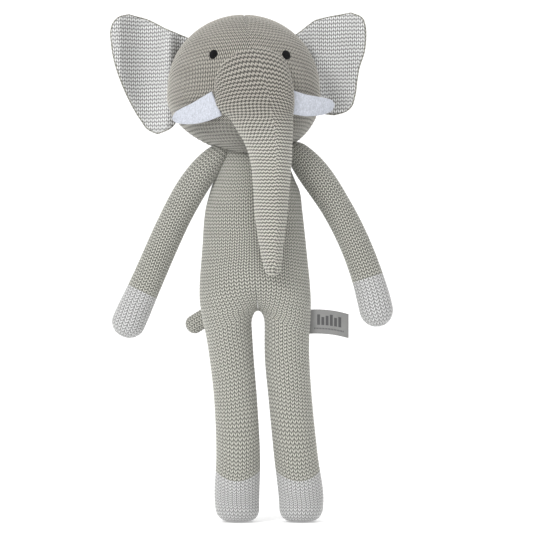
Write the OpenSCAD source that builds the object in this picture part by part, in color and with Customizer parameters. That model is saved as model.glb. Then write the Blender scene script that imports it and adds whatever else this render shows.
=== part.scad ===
// Knitted elephant soft toy with long arms, legs and trunk, stuffed with fibre.
// The origin is on the ground under the middle of the toy. +Z is up, and the face
// looks along -Y, so the toy's own right is -X and its own left is +X.
// Every cover is a shell of knitted cloth with its fibre stuffing as a separate core.

/* [Cloth] */
// Thickness of the knitted covers
cover_t = 1.8; // [1:0.1:3]
// Slack between a cover and its stuffing
core_gap = 0.3; // [0.1:0.05:0.6]
// Free space between two parts that turn on one another
joint_gap = 0.7; // [0.4:0.1:1.5]

/* [Torso] */
// Height of the collar where the neck is gathered
collar_z = 300; // [292:1:304]
// Height of the seat above the soles
seat_z = 170; // [166:1:176]
// Half width of the torso at the collar
collar_half_w = 21; // [18:0.5:24]
// Half width of the torso at the hips
hip_half_w = 44; // [38:0.5:46]
// Half depth of the torso at its fullest
belly_half_d = 30; // [26:0.5:31]

/* [Head] */
// Half width of the head
head_half_w = 61; // [56:0.5:62]
// Half depth of the head
head_half_d = 55.5; // [50:0.5:58]
// Half height of the head
head_half_h = 53.5; // [50:0.5:55]
// Height of the middle of the head
head_z = 352; // [350:0.5:356]

/* [Ears] */
// Thickness of one knitted ear panel
ear_panel_t = 2.4; // [1.5:0.1:3]
// Depth at which the ears are sewn to the head
ear_y = 20; // [16:1:26]
// Space between an ear's edge and the head's side
ear_gap = 2; // [1:0.1:3]

/* [Trunk] */
// Radius of the trunk at its root
trunk_root_r = 19; // [17:0.5:20]
// Radius of the trunk at the bend in its middle
trunk_bend_r = 13.5; // [12:0.5:15]
// Radius of the trunk at its tip
trunk_tip_r = 5; // [4:0.5:7]

/* [Arms] */
// Radius of the arm at the shoulder
shoulder_r = 12; // [10:0.5:12.5]
// Radius of the hand at its fullest
hand_r = 13; // [11:0.5:14]
// Share of the arm's length that the grey cover takes
cuff_share = 0.76; // [0.7:0.01:0.82]

/* [Legs] */
// Height of the hip hinge above the soles
hip_z = 150; // [146:1:154]
// Radius of the leg at the hip
thigh_r = 18.5; // [17:0.5:19]
// Radius of the leg above the foot
ankle_r = 16.6; // [15:0.1:18]
// Radius of the foot at its fullest
foot_r = 17.6; // [16:0.1:18.5]
// Height of the white foot above the sole
foot_top = 36; // [30:1:44]

/* [Trimmings] */
// Length of a felt tusk
tusk_l = 36; // [30:1:40]
// Thickness of a felt tusk
tusk_t = 3; // [2:0.1:4]
// Radius of an embroidered eye
eye_r = 3.6; // [3:0.1:5]
// Length of the folded ribbon label
label_w = 28; // [20:1:32]
// Height of the folded ribbon label
label_h = 20; // [14:1:22]

/* [Hidden] */

core_in = cover_t + core_gap;
grey_knit = [0.78, 0.76, 0.72];
taupe_knit = [0.70, 0.68, 0.64];
white_knit = [0.93, 0.93, 0.93];
fibre = [0.97, 0.97, 0.95];
felt = [0.86, 0.87, 0.92];

// The neck is a ball of stuffing at the collar, and the head nods about its centre.
neck = [2, 2, 291];
neck_r = 16.5;
head_x = -6.5;
head_y = 3;
chin_z = 306;

// Hinge centres of the trunk's root, its bend and its tip.
trunk_root = [8, -40, 326];
trunk_bend = [15.5, -42, 262];
trunk_tip = [17, -36, 205];
// How far before the bend the upper trunk ends.
bend_back = 10;

// Hinge of each limb, and the arms' routes from shoulder to finger tip in X and Z.
shoulder_right = [-32, 289];
shoulder_left = [38, 291];
arm_route_right = [[-26, 299], [-69, 228], [-103, 150]];
arm_route_left = [[30, 300], [92, 232], [104, 159]];
hip_right = [-15, 0, hip_z];
hip_left = [28.5, 0, hip_z];
sole_right = [-11.5, 0, -1.2];
sole_left = [40, 0, -1.2];

// Stations down the torso: share of its height from collar to seat, middle in X,
// half width as a share of the way from collar to hip, and half depth as a share.
torso_rows = [[0, 2, 0, 0.64], [0.08, 2, 0.16, 0.74], [0.16, 2, 0.33, 0.82],
    [0.22, 2, 0.50, 0.87], [0.29, 1.5, 0.70, 0.91], [0.40, 1.5, 0.74, 0.95],
    [0.60, 2, 0.86, 1], [0.80, 3, 0.97, 1], [0.90, 3.5, 1, 0.96], [0.96, 4, 0.94, 0.86],
    [1, 4, 0.74, 0.66]];

// ---- Shapes that the parts share ----

// Joins rings of points, listed from the lowest to the highest, into one closed solid.
module skin(rings) {
    sides = len(rings[0]);
    last = len(rings) - 1;
    polyhedron(
        points = [for (r = rings) each r],
        faces = concat(
            [[for (j = [0 : sides - 1]) j]],
            [for (i = [0 : last - 1]) for (j = [0 : sides - 1]) let (k = (j + 1) % sides)
                [i * sides + j, (i + 1) * sides + j, (i + 1) * sides + k, i * sides + k]],
            [[for (j = [sides - 1 : -1 : 0]) last * sides + j]]),
        convexity = 4);
}

// An oval ring about a centre, its wide axis leaning from X towards Z.
function ring(centre, rx, ry, lean, sides) =
    [for (j = [0 : sides - 1]) let (a = 360 * j / sides)
        [centre.x + rx * cos(a) * cos(lean), centre.y + ry * sin(a),
            centre.z + rx * cos(a) * sin(lean)]];

// Point and direction on a bowed route through three control points.
function bow(p, t) = (1 - t) * (1 - t) * p[0] + 2 * t * (1 - t) * p[1] + t * t * p[2];
function bow_way(p, t) = 2 * (1 - t) * (p[1] - p[0]) + 2 * t * (p[2] - p[1]);

// Radius of a tube that is rounded off within a radius of its two ends.
function rounded(r, along, length) =
    let (end = min(along, length - along), d = max(0, r - end))
    sqrt(max(0.01, r * r - d * d));

// A solid of revolution whose axis runs from one point towards another.
module along_line(from, to) {
    way = to - from;
    translate(from)
        rotate([0, acos(way.z / norm(way)), atan2(way.y, way.x)])
            children();
}

// ---- Torso ----

// The torso's outer form, shrunk by inset; reach lengthens it past the collar.
module torso_form(inset, reach = 0) {
    height = collar_z - seat_z;
    rows = [for (i = [len(torso_rows) - 1 : -1 : 0]) torso_rows[i]];
    skin([for (r = rows) ring(
        [r[1], 0, collar_z - r[0] * height + (r[0] == 0 ? reach : 0) + (r[0] == 1 ? inset : 0)],
        collar_half_w + (hip_half_w - collar_half_w) * r[2] - inset,
        belly_half_d * r[3] - inset, 0, 28)]);
}

// Room for one arm beside the torso: a ball at the shoulder and the sleeve below it.
module arm_room(hinge, route, r) {
    at = [hinge.x, 0, hinge.y];
    elbow = bow(route, 0.5);
    translate(at)
        sphere(r = r, $fn = 40);
    along_line(at, [elbow.x, 0, elbow.y])
        cylinder(r = r - 0.25, h = 50, $fn = 40);
}

module arm_rooms(extra) {
    r = shoulder_r + joint_gap + extra;
    arm_room(shoulder_right, arm_route_right, r);
    arm_room(shoulder_left, arm_route_left, r);
}

module torso_cover() {
    color(grey_knit)
        difference() {
            torso_form(0);
            torso_form(cover_t, 3);
            arm_rooms(0);
        }
}

module torso_stuffing() {
    color(fibre)
        union() {
            difference() {
                torso_form(core_in);
                arm_rooms(core_in);
            }
            translate(neck)
                sphere(r = neck_r, $fn = 48);
        }
}

// ---- Head ----

// The head's outer form: an egg with full cheeks, shrunk by inset.
module head_form(inset) {
    steps = 14;
    skin([for (i = [0 : steps]) let (
        a = -88 + 176 * i / steps,
        fullness = pow(cos(a), 0.86),
        cheek = 1 + 0.03 * sin(-2 * a))
        ring([head_x, head_y, head_z + (head_half_h - inset) * sin(a)],
            (head_half_w - inset) * fullness * cheek,
            (head_half_d - inset) * fullness, 0, 32)]);
}

// What the neck ball, the trunk's root and the open chin take out of the head.
module head_cuts(extra) {
    translate(neck)
        sphere(r = neck_r + joint_gap + extra, $fn = 48);
    translate(trunk_root)
        sphere(r = trunk_root_r + joint_gap + extra, $fn = 48);
    along_line(trunk_root, trunk_bend)
        cylinder(r = trunk_root_r + joint_gap + extra, h = 40, $fn = 48);
    translate([head_x, head_y, chin_z - 20])
        cube([150, 150, 40 + 2 * extra], center = true);
}

module head_cover() {
    color(taupe_knit)
        difference() {
            head_form(0);
            head_form(cover_t);
            head_cuts(0);
        }
}

module head_stuffing() {
    color(fibre)
        difference() {
            head_form(core_in);
            head_cuts(core_in);
        }
}

// Turns flat work from the XY plane to face the front on the right or left of the head.
module on_face(x, y, z, turn, tip) {
    translate([x, y, z])
        rotate([90 + tip, 0, turn])
            children();
}

module eye(x, y, turn) {
    color([0.06, 0.06, 0.07])
        on_face(x, y, 373, turn, -20)
            cylinder(r = eye_r, h = 1.2, $fn = 32);
}

module eye_right() {
    eye(-30, -43.9, -24);
}

module eye_left() {
    eye(27.6, -38.7, 34);
}

// A flat felt tusk: broad where it is sewn in beside the trunk, round at its tip.
module tusk(x, y, z, turn, rise) {
    color(felt)
        on_face(x, y, z, turn, 0)
            rotate([0, 0, rise])
                linear_extrude(height = tusk_t)
                    hull() {
                        translate([3, 0])
                            square([6, 18], center = true);
                        translate([tusk_l - 6.5, -2])
                            circle(r = 6.5, $fn = 40);
                    }
}

module tusk_right() {
    mirror([1, 0, 0])
        tusk(25, -52.5, 333, 35, -12);
}

module tusk_left() {
    tusk(32, -45.5, 335, 46, -6);
}

// ---- Ears ----

// Outline of an ear as its front shows it: a fan, widest and highest away from the head.
module ear_outline(circles) {
    hull()
        for (c = circles)
            translate([c[0], c[1]])
                circle(r = c[2], $fn = 48);
}

ear_circles_right = [[-99, 395, 14], [-94, 367, 17], [-78, 324, 9], [-74, 332, 4], [-60, 384, 8]];
ear_circles_left = [[78, 396, 13.6], [73.5, 373, 17.5], [69, 342, 13], [68, 338, 9], [56, 388, 9]];

// One knitted panel of an ear, from depth y0 back, clear of the head's side.
module ear_panel(circles, y0, tone) {
    color(tone)
        difference() {
            translate([0, y0 + ear_panel_t, 0])
                rotate([90, 0, 0])
                    linear_extrude(height = ear_panel_t)
                        ear_outline(circles);
            head_form(-ear_gap);
        }
}

module ear_front_right() {
    ear_panel(ear_circles_right, ear_y, white_knit);
}

module ear_back_right() {
    ear_panel(ear_circles_right, ear_y + ear_panel_t, grey_knit);
}

module ear_front_left() {
    ear_panel(ear_circles_left, ear_y, white_knit);
}

module ear_back_left() {
    ear_panel(ear_circles_left, ear_y + ear_panel_t, grey_knit);
}

// ---- Trunk ----

// Half section of a tapered round tube with a ball end about each of its two end points.
module taper_section(length, r1, r2) {
    near = [for (a = [-90 : 10 : 0]) [r1 * cos(a), r1 * sin(a)]];
    far = [for (a = [0 : 10 : 90]) [r2 * cos(a), length + r2 * sin(a)]];
    polygon(concat(near, far));
}

module tapered(from, to, r1, r2) {
    along_line(from, to)
        rotate_extrude($fn = 48)
            taper_section(norm(to - from), r1, r2);
}

// Half section of the room for the lower trunk, which curls in the upper trunk's open end.
module bend_room(length, extra) {
    translate([0, length])
        circle(r = trunk_bend_r + joint_gap + extra, $fn = 72);
    translate([-1, length - bend_back - extra])
        square([40, 60]);
}

module trunk_upper_cover() {
    length = norm(trunk_bend - trunk_root);
    color(taupe_knit)
        along_line(trunk_root, trunk_bend)
            rotate_extrude($fn = 48)
                difference() {
                    taper_section(length, trunk_root_r, trunk_bend_r);
                    taper_section(length, trunk_root_r - cover_t, trunk_bend_r - cover_t);
                    bend_room(length, 0);
                }
}

module trunk_upper_stuffing() {
    length = norm(trunk_bend - trunk_root);
    color(fibre)
        along_line(trunk_root, trunk_bend)
            rotate_extrude($fn = 48)
                difference() {
                    taper_section(length, trunk_root_r - core_in, trunk_bend_r - core_in);
                    bend_room(length, 0);
                }
}

module trunk_lower_form(inset) {
    tapered(trunk_bend, trunk_tip, trunk_bend_r - inset, trunk_tip_r - inset);
}

module trunk_lower_cover() {
    color(taupe_knit)
        difference() {
            trunk_lower_form(0);
            trunk_lower_form(cover_t);
            translate(trunk_bend + [0, 0, trunk_bend_r])
                cylinder(r = 5, h = 8, center = true, $fn = 32);
        }
}

module trunk_lower_stuffing() {
    color(fibre)
        trunk_lower_form(core_in);
}

// ---- Arms ----

// An arm's form along its route between two shares of its length, shrunk by inset.
module arm_form(route, from, to, inset) {
    steps = 14;
    length = norm(route[2] - route[1]) + norm(route[1] - route[0]);
    skin([for (i = [0 : steps]) let (
        t = to - (to - from) * (1 - cos(180 * i / steps)) / 2,
        p = bow(route, t),
        way = bow_way(route, t),
        swell = shoulder_r + (hand_r - shoulder_r) * t,
        r = rounded(swell, t * length, length) - inset)
        ring([p.x, 0, p.y], max(0.2, r), max(0.2, r), atan2(way.y, way.x) + 90, 20)]);
}

module arm_cover(route) {
    color(grey_knit)
        difference() {
            arm_form(route, 0, cuff_share, 0);
            arm_form(route, 0.025, cuff_share + 0.02, cover_t);
        }
}

module hand(route) {
    color(white_knit)
        difference() {
            arm_form(route, cuff_share, 1, 0);
            arm_form(route, cuff_share - 0.02, 0.975, cover_t);
        }
}

module arm_stuffing(route) {
    color(fibre)
        arm_form(route, 0.05, 0.95, core_in + 0.3);
}

module arm_cover_right() {
    arm_cover(arm_route_right);
}

module hand_right() {
    hand(arm_route_right);
}

module arm_stuffing_right() {
    arm_stuffing(arm_route_right);
}

module arm_cover_left() {
    arm_cover(arm_route_left);
}

module hand_left() {
    hand(arm_route_left);
}

module arm_stuffing_left() {
    arm_stuffing(arm_route_left);
}

// ---- Legs ----

// A leg's half profile: a ball round the hip hinge, a slim shank and a rounded foot.
module leg_profile(length, inset) {
    ball = [for (a = [0 : 10 : 80]) [(thigh_r - inset) * sin(a), length + (thigh_r - inset) * cos(a)]];
    sole = [for (a = [0 : 15 : 75])
        [foot_r - inset - 8 + 8 * cos(a), 8 - (8 - inset) * sin(a)]];
    polygon(concat(ball, [[thigh_r - inset, length], [ankle_r - inset, foot_top + 8],
        [foot_r - inset, foot_top - 14]], sole, [[foot_r - inset - 8, inset], [0, inset]]));
}

// The whole leg's solid of revolution, from the sole up the line to the hip. The sole is
// trimmed level, so that the toy has two flat feet.
module leg_form(sole, hip, inset) {
    intersection() {
        along_line(sole, hip)
            rotate_extrude($fn = 48)
                leg_profile(norm(hip - sole), inset);
        translate([sole.x, 0, inset + 100])
            cube([120, 90, 200], center = true);
    }
}

// The part of space above or below the top edge of the white foot.
module above_cuff(sole, up) {
    translate([sole.x, 0, up ? foot_top + 100 : foot_top - 60])
        cube([90, 90, up ? 200 : 120], center = true);
}

module leg_cover(sole, hip) {
    color(grey_knit)
        difference() {
            leg_form(sole, hip, 0);
            leg_form(sole, hip, cover_t);
            above_cuff(sole, false);
        }
}

module foot(sole, hip) {
    color(white_knit)
        difference() {
            leg_form(sole, hip, 0);
            leg_form(sole, hip, cover_t);
            above_cuff(sole, true);
        }
}

module leg_stuffing(sole, hip) {
    color(fibre)
        leg_form(sole, hip, core_in);
}

module leg_cover_right() {
    leg_cover(sole_right, hip_right);
}

module foot_right() {
    foot(sole_right, hip_right);
}

module leg_stuffing_right() {
    leg_stuffing(sole_right, hip_right);
}

module leg_cover_left() {
    leg_cover(sole_left, hip_left);
}

module foot_left() {
    foot(sole_left, hip_left);
}

module leg_stuffing_left() {
    leg_stuffing(sole_left, hip_left);
}

// ---- Tail and label ----

module tail() {
    color(grey_knit)
        tapered([-25, 28, 172], [-44, 30, 159], 5.5, 6);
}

module label() {
    color([0.66, 0.66, 0.65])
        translate([49, 1.4, 149])
            rotate([0, -3, 0])
                cube([label_w, 1.2, label_h]);
}

torso_cover();
torso_stuffing();
head_cover();
head_stuffing();
eye_right();
eye_left();
tusk_right();
tusk_left();
ear_front_right();
ear_back_right();
ear_front_left();
ear_back_left();
trunk_upper_cover();
trunk_upper_stuffing();
trunk_lower_cover();
trunk_lower_stuffing();
arm_cover_right();
hand_right();
arm_stuffing_right();
arm_cover_left();
hand_left();
arm_stuffing_left();
leg_cover_right();
foot_right();
leg_stuffing_right();
leg_cover_left();
foot_left();
leg_stuffing_left();
tail();
label();
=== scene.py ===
"""Looks of a knitted elephant soft toy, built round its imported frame.

Every cover is a knitted cloth: a smooth surface of two parameters, carrying real stitch
relief, with rows (courses) and columns (wales) at the toy's own gauge.  Lengths inside the
classes are in millimetres and are turned into metres when a mesh is made.
"""
import logging
from dataclasses import dataclass, field, fields
from enum import Enum
from typing import Callable

import bpy
import numpy as np
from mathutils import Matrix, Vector


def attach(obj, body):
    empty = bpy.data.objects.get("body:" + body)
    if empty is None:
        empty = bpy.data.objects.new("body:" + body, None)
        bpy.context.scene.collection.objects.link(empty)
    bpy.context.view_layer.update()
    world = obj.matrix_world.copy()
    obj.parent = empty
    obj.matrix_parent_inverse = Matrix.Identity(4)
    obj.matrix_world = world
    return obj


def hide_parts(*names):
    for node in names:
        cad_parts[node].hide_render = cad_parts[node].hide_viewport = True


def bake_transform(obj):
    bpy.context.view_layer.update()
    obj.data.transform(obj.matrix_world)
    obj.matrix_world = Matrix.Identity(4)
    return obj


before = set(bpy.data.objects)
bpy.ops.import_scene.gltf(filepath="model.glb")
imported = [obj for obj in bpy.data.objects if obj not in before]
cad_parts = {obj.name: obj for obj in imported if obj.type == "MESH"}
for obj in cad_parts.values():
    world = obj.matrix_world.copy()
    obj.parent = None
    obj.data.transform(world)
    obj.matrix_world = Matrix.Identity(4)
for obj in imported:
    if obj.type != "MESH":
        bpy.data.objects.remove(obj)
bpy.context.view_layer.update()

LOG = logging.getLogger("elephant")
MM = 0.001
TAU = 2.0 * np.pi
Array = np.ndarray
Surface = Callable[[Array, Array], Array]


class Side(Enum):
    """The toy's own right is towards -X and its own left towards +X."""

    RIGHT = "right"
    LEFT = "left"

    @property
    def sign(self) -> float:
        """-1 on the toy's right and +1 on its left."""
        return -1.0 if self is Side.RIGHT else 1.0


# ---------------------------------------------------------------- small formulas


def eased(t: Array) -> Array:
    """Smooth step: 3t^2 - 2t^3, with t held between 0 and 1."""
    t = np.clip(t, 0.0, 1.0)
    return t * t * (3.0 - 2.0 * t)


def fraction(x: Array) -> Array:
    """The part of x past its whole number."""
    return x - np.floor(x)


def through(stations: list[tuple[float, float]], x: Array) -> Array:
    """A smooth curve through a few stations.

    Each piece is a cubic whose slope at a station is the mean of the slopes beside it.

    Args:
        stations: pairs of place and value, in rising order of place.
        x: the places to evaluate; past the ends the end value holds.

    Returns:
        The value at each place.
    """
    places, values = np.array(stations, float).T
    steps = np.diff(values) / np.diff(places)
    slopes = np.concatenate([[steps[0]], (steps[1:] + steps[:-1]) / 2, [steps[-1]]])
    x = np.clip(x, places[0], places[-1])
    i = np.clip(np.searchsorted(places, x, side="right") - 1, 0, len(places) - 2)
    width = places[i + 1] - places[i]
    t = (x - places[i]) / width
    return (values[i] * (1 + 2 * t) * (1 - t) ** 2 + values[i + 1] * t * t * (3 - 2 * t)
            + width * (slopes[i] * t * (1 - t) ** 2 + slopes[i + 1] * t * t * (t - 1)))


# ---------------------------------------------------------------- knitted cloth


@dataclass(frozen=True)
class Gauge:
    """How a cloth is knitted.

    wale and course are the width and the height of a stitch, and relief the height of its
    yarn.  rise is how far the two yarns of a V climb, in courses.  dive is the share of
    its height that a yarn loses between two wales, and centre how much of that dive it
    makes at the middle of a V.  ground is the share of the relief that lies under the
    smooth surface.  cells_u and cells_v are the mesh's cells per wale and per course.
    """

    wale: float = 3.6
    course: float = 2.7
    relief: float = 1.1
    rise: float = 0.85
    dive: float = 0.72
    centre: float = 0.7
    ground: float = 0.6
    cells_u: int = 6
    cells_v: int = 5

    def height(self, u: Array, v: Array) -> Array:
        """Stitch relief, from 0 in a gap to 1 on the crest of a yarn.

        Each stitch is a V: across a wale, a runs 0 at its middle to 1 at its edges, and
        the two yarns climb with a.  A yarn's section is round, and it dives under its
        neighbours at the foot of the V and between two wales.

        Args:
            u: place across the cloth, in wales.
            v: place up the cloth, in courses.

        Returns:
            The height at each place.
        """
        a = np.abs(fraction(u) - 0.5) * 2.0
        t = fraction(v - self.rise * a)
        crest = np.sqrt(np.maximum(0.0, 1.0 - (2.0 * t - 1.0) ** 2))
        foot = 1.0 - self.dive * (self.centre + (1.0 - self.centre) * eased(a))
        return crest * (foot + (1.0 - foot) * np.sin(np.pi * np.clip(a, 0.0, 1.0)) ** 0.7)


def wobble(u: Array, v: Array, seed: float) -> tuple[Array, Array]:
    """Hand of the knit: slow drifts of wales and courses, as sums of a few long waves."""
    du = 0.10 * np.sin(0.31 * v + seed) + 0.06 * np.sin(0.83 * v + 0.21 * u + 2.0 * seed)
    dv = 0.12 * np.sin(0.27 * u + 1.7 * seed) + 0.06 * np.sin(0.71 * u - 0.33 * v + seed)
    return du, dv


def weld(points: Array, corners: Array) -> tuple[Array, Array, Array]:
    """Joins corners that share a place, so that seams and poles are closed.

    Args:
        points: all places, one row each, in metres.
        corners: four place numbers per face.

    Returns:
        The places kept, the place of each kept corner, and which corners are kept; a
        corner that repeats the one before it in its face is dropped.
    """
    keys = np.round(points / 2e-6).astype(np.int64)
    keys -= keys.min(0)
    span = keys.max(0) + 1
    flat = (keys[:, 0] * span[1] + keys[:, 1]) * span[2] + keys[:, 2]
    _, first, back = np.unique(flat, return_index=True, return_inverse=True)
    faces = back.reshape(-1)[corners]
    kept = faces != np.roll(faces, 1, axis=1)
    kept[kept.sum(1) < 3] = False
    crossed = (faces[:, 0] == faces[:, 2]) | (faces[:, 1] == faces[:, 3])
    kept[crossed] = False
    return points[first], faces, kept


def mesh_from(name: str, points: Array, corners: Array, uv: Array) -> bpy.types.Object:
    """Makes a mesh object from faces of four corners.

    Args:
        name: the piece's name.
        points: places in millimetres.
        corners: four place numbers per face, turned so that the face looks outwards.
        uv: place across and up the cloth, for every point.

    Returns:
        The new object, linked into the scene, with smooth faces and its UV map.
    """
    places, faces, kept = weld(points * MM, corners)
    per_face = kept.sum(1)
    loops = faces[kept]
    starts = np.concatenate([[0], np.cumsum(per_face[per_face > 0])[:-1]])
    mesh = bpy.data.meshes.new(name)
    mesh.vertices.add(len(places))
    mesh.vertices.foreach_set("co", places.astype(np.float32).ravel())
    mesh.loops.add(len(loops))
    mesh.loops.foreach_set("vertex_index", loops.astype(np.int32))
    mesh.polygons.add(len(starts))
    mesh.polygons.foreach_set("loop_start", starts.astype(np.int32))
    mesh.update(calc_edges=True)
    layer = mesh.uv_layers.new(name="stitches")
    layer.uv.foreach_set("vector", uv[corners[kept]].astype(np.float32).ravel())
    mesh.validate()
    mesh.shade_smooth()
    made = bpy.data.objects.new(name, mesh)
    bpy.context.scene.collection.objects.link(made)
    return made


def grid_faces(rows: int, columns: int, offset: int = 0) -> Array:
    """Four corners of every cell of a grid of points, counted row by row."""
    i, j = np.meshgrid(np.arange(rows - 1), np.arange(columns - 1), indexing="ij")
    a = (i * columns + j).ravel() + offset
    return np.stack([a, a + 1, a + columns + 1, a + columns], axis=1)


@dataclass
class Cloth:
    """Collects patches of one knitted cloth and makes them one mesh.

    A patch is a surface of v, the course, and q, an angle or share round the body.
    """

    name: str
    gauge: Gauge
    seed: float = 0.0
    seam_depth: float = 0.35
    seam_width: float = 0.9
    points: list[Array] = field(default_factory=list)
    uvs: list[Array] = field(default_factory=list)
    faces: list[Array] = field(default_factory=list)

    def add(self, surface: Surface, v: Array, q: Array, u: Array, inward: bool,
            step: float = 0.004, sunk: Array | float = 0.0, plain: Array | float = 0.0,
            mirrored: bool = False, loose: Array | float = 1.0) -> None:
        """Adds a grid of points, lifted off the surface by the stitch relief.

        The normal is the cross product of the surface's two slopes, by small differences.
        The relief shrinks where the wales crowd together, as at a tip or a pole.

        Args:
            surface: place of course v at q.
            v: course of every point of the grid.
            q: angle or share of every point.
            u: place across the cloth, in wales.
            inward: True where the surface's own slopes give a normal that points in.
            step: the small difference of q.
            sunk: how deep the cloth lies under the surface, as in a seam.
            plain: 1 where the relief dies out, so that two edges meet, and 0 elsewhere.
            mirrored: True where the columns of the grid run towards smaller q.
            loose: 1 where wales and courses drift freely, 0 where a seam holds them.
        """
        place = surface(v, q)
        across = surface(v, q + step) - surface(v, q - step)
        along = surface(v + 0.05, q) - surface(v - 0.05, q)
        normal = np.cross(across, along)
        size = np.linalg.norm(normal, axis=-1, keepdims=True)
        normal = normal / np.maximum(size, 1e-9)
        if inward:
            normal = -normal
        du, dv = wobble(u, v, self.seed)
        uv = np.stack([u + du * loose, -v + dv * loose], axis=-1)
        pitch = np.linalg.norm(np.gradient(place, axis=1), axis=-1) * self.gauge.cells_u
        crowd = np.clip(pitch / self.gauge.wale, 0.0, 1.0)
        edge = np.where(pitch > 0.05 * self.gauge.wale, crowd, 1.0)
        above = self.gauge.height(uv[..., 0], uv[..., 1]) - self.gauge.ground
        lift = self.gauge.relief * above * edge * (1.0 - plain)
        place = place + normal * (lift - sunk)[..., None]
        rows, columns = v.shape
        cells = grid_faces(rows, columns, sum(len(p) for p in self.points))
        self.points.append(place.reshape(-1, 3))
        self.uvs.append(uv.reshape(-1, 2))
        self.faces.append(cells[:, ::-1] if inward != mirrored else cells)

    def tube(self, surface: Surface, first: float, last: float, wales: int,
             inward: bool = False, turn: float = TAU) -> None:
        """Adds a tube, or part of one, with the same number of wales all the way.

        Args:
            surface: place of course v at angle q.
            first: course where the patch starts.
            last: course where it ends.
            wales: number of wales round the turn.
            inward: True where the surface's own slopes give a normal that points in.
            turn: angle that the wales go round.
        """
        rows = max(2, int(round((last - first) * self.gauge.cells_v)) + 1)
        v, u = np.meshgrid(np.linspace(first, last, rows),
                           np.linspace(0.0, wales, wales * self.gauge.cells_u + 1), indexing="ij")
        loose = eased(np.minimum(u, wales - u) / 2.0)
        self.add(surface, v, u * turn / wales, -u if inward else u, inward, loose=loose)

    def gored(self, surface: Surface, first: float, last: float, start: float, stop: float,
              inward: bool = False) -> None:
        """Adds a patch whose wales keep their width and run out at a seam.

        The place across is the length along a course from the line q = start, divided by
        the width of a wale.  Where a course is short, the last wales end in the seam at
        q = stop.

        Args:
            surface: place of course v at angle q.
            first: course where the patch starts.
            last: course where it ends.
            start: angle of the line from which the wales are counted.
            stop: angle of the seam.
            inward: as for tube().
        """
        rows = max(2, int(round((last - first) * self.gauge.cells_v)) + 1)
        v_rows = np.linspace(first, last, rows)
        q_fine = np.linspace(start, stop, 161)
        v_grid, q_grid = np.meshgrid(v_rows, q_fine, indexing="ij")
        spans = np.linalg.norm(np.diff(surface(v_grid, q_grid), axis=1), axis=-1)
        lengths = np.concatenate([np.zeros((rows, 1)), np.cumsum(spans, axis=1)], axis=1)
        count = int(np.ceil(lengths[:, -1].max() / self.gauge.wale * self.gauge.cells_u)) + 1
        u = np.arange(count) / self.gauge.cells_u
        q = np.stack([np.interp(u * self.gauge.wale, row, q_fine) for row in lengths])
        u = np.minimum(u[None, :], lengths[:, -1:] / self.gauge.wale)
        v = np.repeat(v_rows[:, None], count, axis=1)
        past = (lengths[:, -1:] / self.gauge.wale - u) * self.gauge.wale
        near = np.exp(-((past / self.seam_width) ** 2))
        self.add(surface, v, q, u * np.sign(stop - start), inward,
                 sunk=self.seam_depth * near, plain=near, mirrored=stop < start)

    def finish(self) -> bpy.types.Object:
        """Makes the mesh of all patches."""
        return mesh_from(self.name, np.concatenate(self.points), np.concatenate(self.faces),
                         np.concatenate(self.uvs))


# ---------------------------------------------------------------- finishes


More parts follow.
